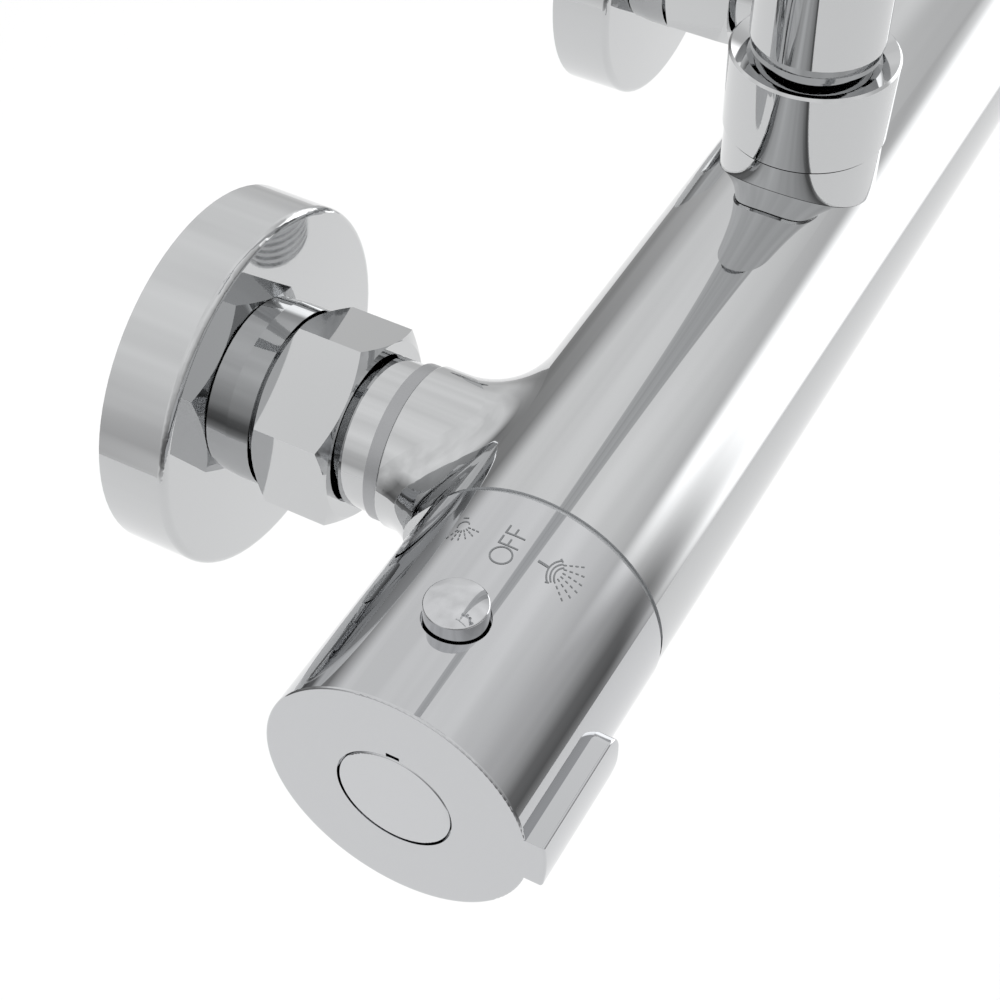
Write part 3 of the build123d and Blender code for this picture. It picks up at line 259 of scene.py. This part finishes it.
# %% [markdown]
# Each solid now takes the finish of the real piece. A node's material slots are filled one by one,
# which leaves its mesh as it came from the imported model.

# %% Which finish each solid takes
finishes = {
    chrome_with_matt_collar: ["valve_body"],
    chrome_on_brass: ["inlet_tails", "union_nuts", "wall_flanges", "riser_socket", "riser_nut", "riser_tail",
                      "riser_lower", "riser_joint", "riser_upper", "bracket_plate", "bracket_arm",
                      "bracket_cover", "arm_ball", "ball_nut"],
    chrome_with_hose_thread: ["hose_outlet"],
    chrome_with_wall_thread: ["s_connectors"],
    abs_with_hose_thread: ["handset"],
    chrome_on_zinc: ["flow_handle", "temperature_handle"],
    chrome_on_abs: ["flow_index_cap", "temperature_index_cap", "eco_button", "slider", "slider_knob",
                    "handset_cradle", "rose"],
    turned_brass_x: ["retaining_nuts", "diverter_spindle", "temperature_spindle"],
    turned_copper: ["wax_element"],
    drawn_steel: ["check_spring_left", "check_spring_right", "thermostat_spring", "eco_button_spring",
                  "safety_button_spring", "flow_handle_screw", "temperature_handle_screw", "bracket_screw"],
    black_nylon: ["check_valves", "check_poppet_left", "check_poppet_right", "diverter_housing",
                  "thermostat_housing", "thermostat_shuttle", "thermostat_adjuster"],
    grey_acetal: ["glide_rings"],
    white_acetal: ["stop_rings", "flow_handle_insert", "temperature_handle_insert"],
    alumina: ["diverter_fixed_disc", "diverter_moving_disc"],
    black_rubber: ["o_rings", "diverter_seal", "filter_washers"],
    grey_silicone: ["handset_nozzles", "rose_nozzles"],
    grey_abs: ["handset_plate", "rose_plate"],
    red_abs: ["safety_button"],
}
for finish, names in finishes.items():
    for name in names:
        for material_slot in nodes[name].material_slots:
            material_slot.material = finish
dressed = sum(len(names) for names in finishes.values())
print("solids with a finish", dressed, "of", len(nodes))

# %% [markdown]
# The marks on the handle are burnt into the chrome with a laser, which leaves a fine grey matt line.
# They could be an image, but a mark made of real faces stays sharp at any distance. Each mark is drawn
# flat, in millimetres, with u along the bar and v round the handle, and is then wrapped on the
# cylinder. It is cut into narrow strips first, because a wide flat face would dip into the metal.

# %% The laser's grey, and wrapping a flat mark on a handle
laser_grey = moulded("laser_marked_chrome", "#8E9092", "#808284", 0.55, 0.3, 0.004, Metallic=0.6)
HANDLE_R = 20.25
MARK_LIFT = 0.05
STRIP = 0.5


def wrapped_mark(name, flat, body):
    """A flat mesh in (u, v) millimetres, wrapped on a handle: u from the middle of the bar, v to the wall."""
    for step in range(-60, 61):
        geometry = flat.verts[:] + flat.edges[:] + flat.faces[:]
        bmesh.ops.bisect_plane(flat, geom=geometry, plane_co=(0, step * STRIP, 0), plane_no=(0, 1, 0))
    radius = HANDLE_R + MARK_LIFT
    for vertex in flat.verts:
        u, v = vertex.co.x, vertex.co.y
        angle = v / HANDLE_R
        vertex.co = Vector((u, bar_y + radius * math.sin(angle), radius * math.cos(angle))) * MM
    bmesh.ops.recalc_face_normals(flat, faces=flat.faces)
    for face in flat.faces:
        centre = face.calc_center_median()
        if face.normal.dot(Vector((0, centre.y - bar_y * MM, centre.z))) < 0:
            face.normal_flip()
    mesh = bpy.data.meshes.new(name)
    flat.to_mesh(mesh)
    flat.free()
    mark = bpy.data.objects.new(name, mesh)
    bpy.context.scene.collection.objects.link(mark)
    mesh.materials.append(laser_grey)
    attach(mark, body)
    return mark


def stroke(flat, points, width):
    """A line of constant width through points, as flat faces."""
    for (ax, ay), (bx, by) in zip(points, points[1:]):
        along = Vector((bx - ax, by - ay))
        side = Vector((-along.y, along.x)).normalized() * width / 2
        corners = [Vector((ax, ay)) - side, Vector((bx, by)) - side, Vector((bx, by)) + side,
                   Vector((ax, ay)) + side]
        flat.faces.new([flat.verts.new((*corner, 0)) for corner in corners])


def arc(centre, radius, start, end, steps=16):
    """Points on an arc between two angles in degrees, counted from +u."""
    angles = [math.radians(start + (end - start) * i / steps) for i in range(steps + 1)]
    return [(centre[0] + radius * math.cos(a), centre[1] + radius * math.sin(a)) for a in angles]


# %% [markdown]
# OFF is read along the bar, with the tops of its letters towards the wall. The letters are single thin
# strokes, a round O and two Fs, so they are drawn with the same stroke as the signs beside them.

# %% OFF on the flow handle
LINE = 0.26
TALL = 3.1
off = bmesh.new()
stroke(off, arc((-104.9, 0), TALL / 2, 0, 360, 40), LINE)
for left in (-102.9, -100.8):
    stroke(off, [(left, -TALL / 2), (left, TALL / 2)], LINE)
    stroke(off, [(left, TALL / 2 - LINE / 2), (left + 1.5, TALL / 2 - LINE / 2)], LINE)
    stroke(off, [(left, 0.1), (left + 1.25, 0.1)], LINE)
off_mark = wrapped_mark("off_mark", off, "flow_handle")
print("off_mark faces", len(off_mark.data.polygons))

# %% [markdown]
# The two signs say where the water goes: towards the wall the overhead shower, towards the room the
# hand shower. Each is a small head with rows of drops. A drop is a short dash that points away from the
# head, so one loop lays out the rows.

# %% The two shower signs
def drops(flat, centre, turn, reaches, spread, count, size):
    """Rows of short dashes that fan out from a shower head."""
    for reach in reaches:
        for step in range(count):
            angle = math.radians(turn + spread * (step / (count - 1) - 0.5))
            way = Vector((math.cos(angle), math.sin(angle)))
            near = Vector(centre) + reach * way
            stroke(flat, [near, near + size * way], 0.2)


overhead = bmesh.new()
stroke(overhead, [(-99.75, 8.0), (-99.75, 8.9)], 0.26)
stroke(overhead, arc((-101.4, 8.0), 0.9, -60, 120, 10), 0.22)
drops(overhead, (-101.4, 8.0), 206, (1.0, 1.8, 2.6), 100, 6, 0.5)
overhead_mark = wrapped_mark("overhead_mark", overhead, "flow_handle")

hand = bmesh.new()
stroke(hand, [(-102.9, -4.7), (-102.9, -6.4)], 0.42)
for reach in (3.15, 2.6, 2.05):
    stroke(hand, arc((-102.9, -9.6), reach, 43 + 2 * (3.15 - reach), 137 - 2 * (3.15 - reach), 14), 0.24)
stroke(hand, [(-105.3, -7.1), (-105.0, -7.6)], 0.24)
stroke(hand, [(-100.5, -7.1), (-100.8, -7.6)], 0.24)
drops(hand, (-102.7, -5.9), 271, (2.5, 3.4, 4.3, 5.2), 74, 6, 0.5)
hand_mark = wrapped_mark("hand_mark", hand, "flow_handle")
print("signs", len(overhead_mark.data.polygons), len(hand_mark.data.polygons))

# %% [markdown]
# The other handle sets the temperature. Its scale has a long tick and the number 38 at the top, where
# the safety button holds the handle back, and short ticks on both sides.

# %% The scale on the temperature handle
scale = bmesh.new()
for step in range(-6, 7):
    reach = 3.0 if step == 0 else 1.6
    stroke(scale, [(94.6, 2.65 * step), (94.6 + reach, 2.65 * step)], LINE)
for height in (-0.72, 0.72):
    stroke(scale, arc((101.0, height), 0.72, -140, 140, 18), LINE)
    stroke(scale, arc((103.4, height), 0.72, 0, 360, 24), LINE)
scale_mark = wrapped_mark("scale_mark", scale, "temperature_handle")
print("scale faces", len(scale_mark.data.polygons))

# %% [markdown]
# Chrome shows its surroundings and little else, so the studio is the real material. A photographer
# puts such a piece in a tent of white cloth on a pale table. The tent is bright overhead and below and
# darker at the horizon, where its sides stand further off, but its two ends are close and stay light.
# A soft box stands to the right. The world is painted that way from the direction alone. The camera's
# own rays see plain white paper.

# %% The tent: a world that is bright above and below, and darker at the horizon
world = bpy.data.worlds.new("white_tent")
bpy.context.scene.world = world
world.use_nodes = True
tent = world.node_tree
tent.nodes.clear()
direction = add(tent, "ShaderNodeTexCoord").outputs["Generated"]
axes = add(tent, "ShaderNodeSeparateXYZ", links={0: direction})
height = add(tent, "ShaderNodeMapRange", values={"From Min": -1.0, "From Max": 1.0},
             links={"Value": axes.outputs[2]})


def band(stops):
    """Brightness by height, from straight down (-1) to straight up (1)."""
    ramp = add(tent, "ShaderNodeValToRGB", links={"Fac": height.outputs["Result"]})
    elements = ramp.color_ramp.elements
    while len(elements) < len(stops):
        elements.new(0.5)
    for element, (place, level) in zip(elements, stops):
        element.position = (place + 1) / 2
        element.color = (level, level, level, 1)
    return ramp.outputs["Color"]


room_side = band([(-1, 1.0), (-0.5, 1.0), (-0.38, 0.35), (-0.25, 0.14), (-0.1, 0.2), (0.1, 0.5), (0.3, 0.62),
                  (0.55, 0.8), (0.75, 1.0), (1, 1.0)])
wall_side = band([(-1, 1.0), (-0.55, 1.0), (-0.42, 0.3), (-0.3, 0.12), (-0.1, 0.25), (0.1, 0.25),
                  (0.25, 0.7), (0.35, 1.0), (1, 1.0)])
ends = band([(-1, 1.0), (-0.45, 0.95), (-0.22, 0.6), (0.0, 0.72), (0.15, 0.85), (0.4, 1.0), (0.7, 1.0), (1, 1.0)])
sideways = add(tent, "ShaderNodeMath", settings={"operation": "ABSOLUTE"}, links={0: axes.outputs[0]})
near_end = add(tent, "ShaderNodeMapRange", values={"From Min": 0.6, "From Max": 0.84},
               links={"Value": sideways.outputs[0]})
behind = add(tent, "ShaderNodeMix", settings={"data_type": "RGBA"},
             links={"Factor": near_end.outputs["Result"], "A": wall_side, "B": ends})
facing = add(tent, "ShaderNodeMapRange", values={"From Min": -0.15, "From Max": 0.15},
             links={"Value": axes.outputs[1]})
sides = add(tent, "ShaderNodeMix", settings={"data_type": "RGBA"},
            links={"Factor": facing.outputs["Result"], "A": room_side, "B": behind.outputs["Result"]})
azimuth = add(tent, "ShaderNodeMath", settings={"operation": "ARCTAN2"},
              links={0: axes.outputs[0], 1: axes.outputs[1]})
print("tent levels set")

# %% [markdown]
# The soft box is a bright patch of the tent to the right of the camera, where the front of the bar
# mirrors it. It is bounded by its direction round the object and by its height, with soft edges. The
# cloth hangs in wide folds, so a noise over the whole tent makes its light a little uneven.

# %% The soft box to the right, and the folds of the cloth
right_low = add(tent, "ShaderNodeMapRange", settings={"interpolation_type": "SMOOTHSTEP"},
                values={"From Min": math.radians(143), "From Max": math.radians(134)},
                links={"Value": azimuth.outputs[0]})
right_high = add(tent, "ShaderNodeMapRange", settings={"interpolation_type": "SMOOTHSTEP"},
                 values={"From Min": math.radians(78), "From Max": math.radians(95)},
                 links={"Value": azimuth.outputs[0]})
low_edge = add(tent, "ShaderNodeMapRange", settings={"interpolation_type": "SMOOTHSTEP"},
               values={"From Min": -0.42, "From Max": -0.28}, links={"Value": axes.outputs[2]})
high_edge = add(tent, "ShaderNodeMapRange", settings={"interpolation_type": "SMOOTHSTEP"},
                values={"From Min": 0.42, "From Max": 0.26}, links={"Value": axes.outputs[2]})
mask = right_low.outputs["Result"]
for edge in (right_high, low_edge, high_edge):
    mask = add(tent, "ShaderNodeMath", settings={"operation": "MULTIPLY"},
               links={0: mask, 1: edge.outputs["Result"]}).outputs[0]
lit = add(tent, "ShaderNodeMix", settings={"data_type": "RGBA"}, values={"B": (2.3, 2.3, 2.3, 1)},
          links={"Factor": mask, "A": sides.outputs["Result"]})
folds = add(tent, "ShaderNodeTexNoise", values={"Scale": 2.6, "Detail": 2.0}, links={"Vector": direction})
shade = add(tent, "ShaderNodeMapRange", values={"From Min": 0.3, "From Max": 0.7, "To Min": 0.86, "To Max": 1.1},
            links={"Value": folds.outputs["Fac"]})
seen = add(tent, "ShaderNodeLightPath")
studio = add(tent, "ShaderNodeBackground",
             links={"Color": lit.outputs["Result"], "Strength": shade.outputs["Result"]})
paper = add(tent, "ShaderNodeBackground", values={"Color": (1, 1, 1, 1), "Strength": 1.0})
either = add(tent, "ShaderNodeMixShader",
             links={0: seen.outputs["Is Camera Ray"], 1: studio.outputs[0], 2: paper.outputs[0]})
add(tent, "ShaderNodeOutputWorld", links={"Surface": either.outputs[0]})
print("soft box set")

# %% [markdown]
# The floor is a round sheet of pale paper, well below the bar because the column hangs on a wall. A
# large soft lamp overhead lights it, so that the paper comes out white and mirrors in the undersides.

# %% The pale floor and the lamp above it
FLOOR_Z = -0.62
disc = bmesh.new()
bmesh.ops.create_circle(disc, cap_ends=True, segments=96, radius=1.5)
paper_mesh = bpy.data.meshes.new("floor")
disc.to_mesh(paper_mesh)
disc.free()
floor = bpy.data.objects.new("floor", paper_mesh)
floor.location = (0.25, 0.0, FLOOR_Z)
bpy.context.scene.collection.objects.link(floor)
pale_paper = moulded("pale_paper", "#F4F4F4", "#F0F0F0", 0.9, 3.0, 0.02)
paper_mesh.materials.append(pale_paper)

lamp_data = bpy.data.lights.new("overhead_lamp", "AREA")
lamp_data.shape = "DISK"
lamp_data.size = 1.4
lamp_data.energy = 16
lamp = bpy.data.objects.new("overhead_lamp", lamp_data)
lamp.location = (0.35, 0.1, 1.9)
lamp.visible_glossy = False
bpy.context.scene.collection.objects.link(lamp)
print("floor at", FLOOR_Z, "m")

# %% [markdown]
# The camera stands where the photographer's stood. Its place and direction were found by matching the
# rims of the handle, flange, nut and riser with those in the picture: it is about 0.35 m from the
# handle and looks down at it from the left, with a long lens.

# %% The camera
RIGHT = Vector((0.475381, -0.879573, 0.019060))
DOWN = Vector((-0.630889, -0.355915, -0.689423))
AHEAD = Vector((0.613181, 0.315714, -0.724109))
camera_data = bpy.data.cameras.new("camera")
camera_data.sensor_width = 36.0
camera_data.lens = 75.095
camera_data.clip_start = 0.01
camera = bpy.data.objects.new("camera", camera_data)
turned = Matrix((RIGHT, -DOWN, -AHEAD)).transposed().to_4x4()
camera.matrix_world = Matrix.Translation(Vector((-273.389, -155.163, 229.847)) * MM) @ turned
bpy.context.scene.collection.objects.link(camera)
bpy.context.scene.camera = camera
bpy.context.scene.view_settings.view_transform = "Standard"
print("camera at", [round(c, 3) for c in camera.location])
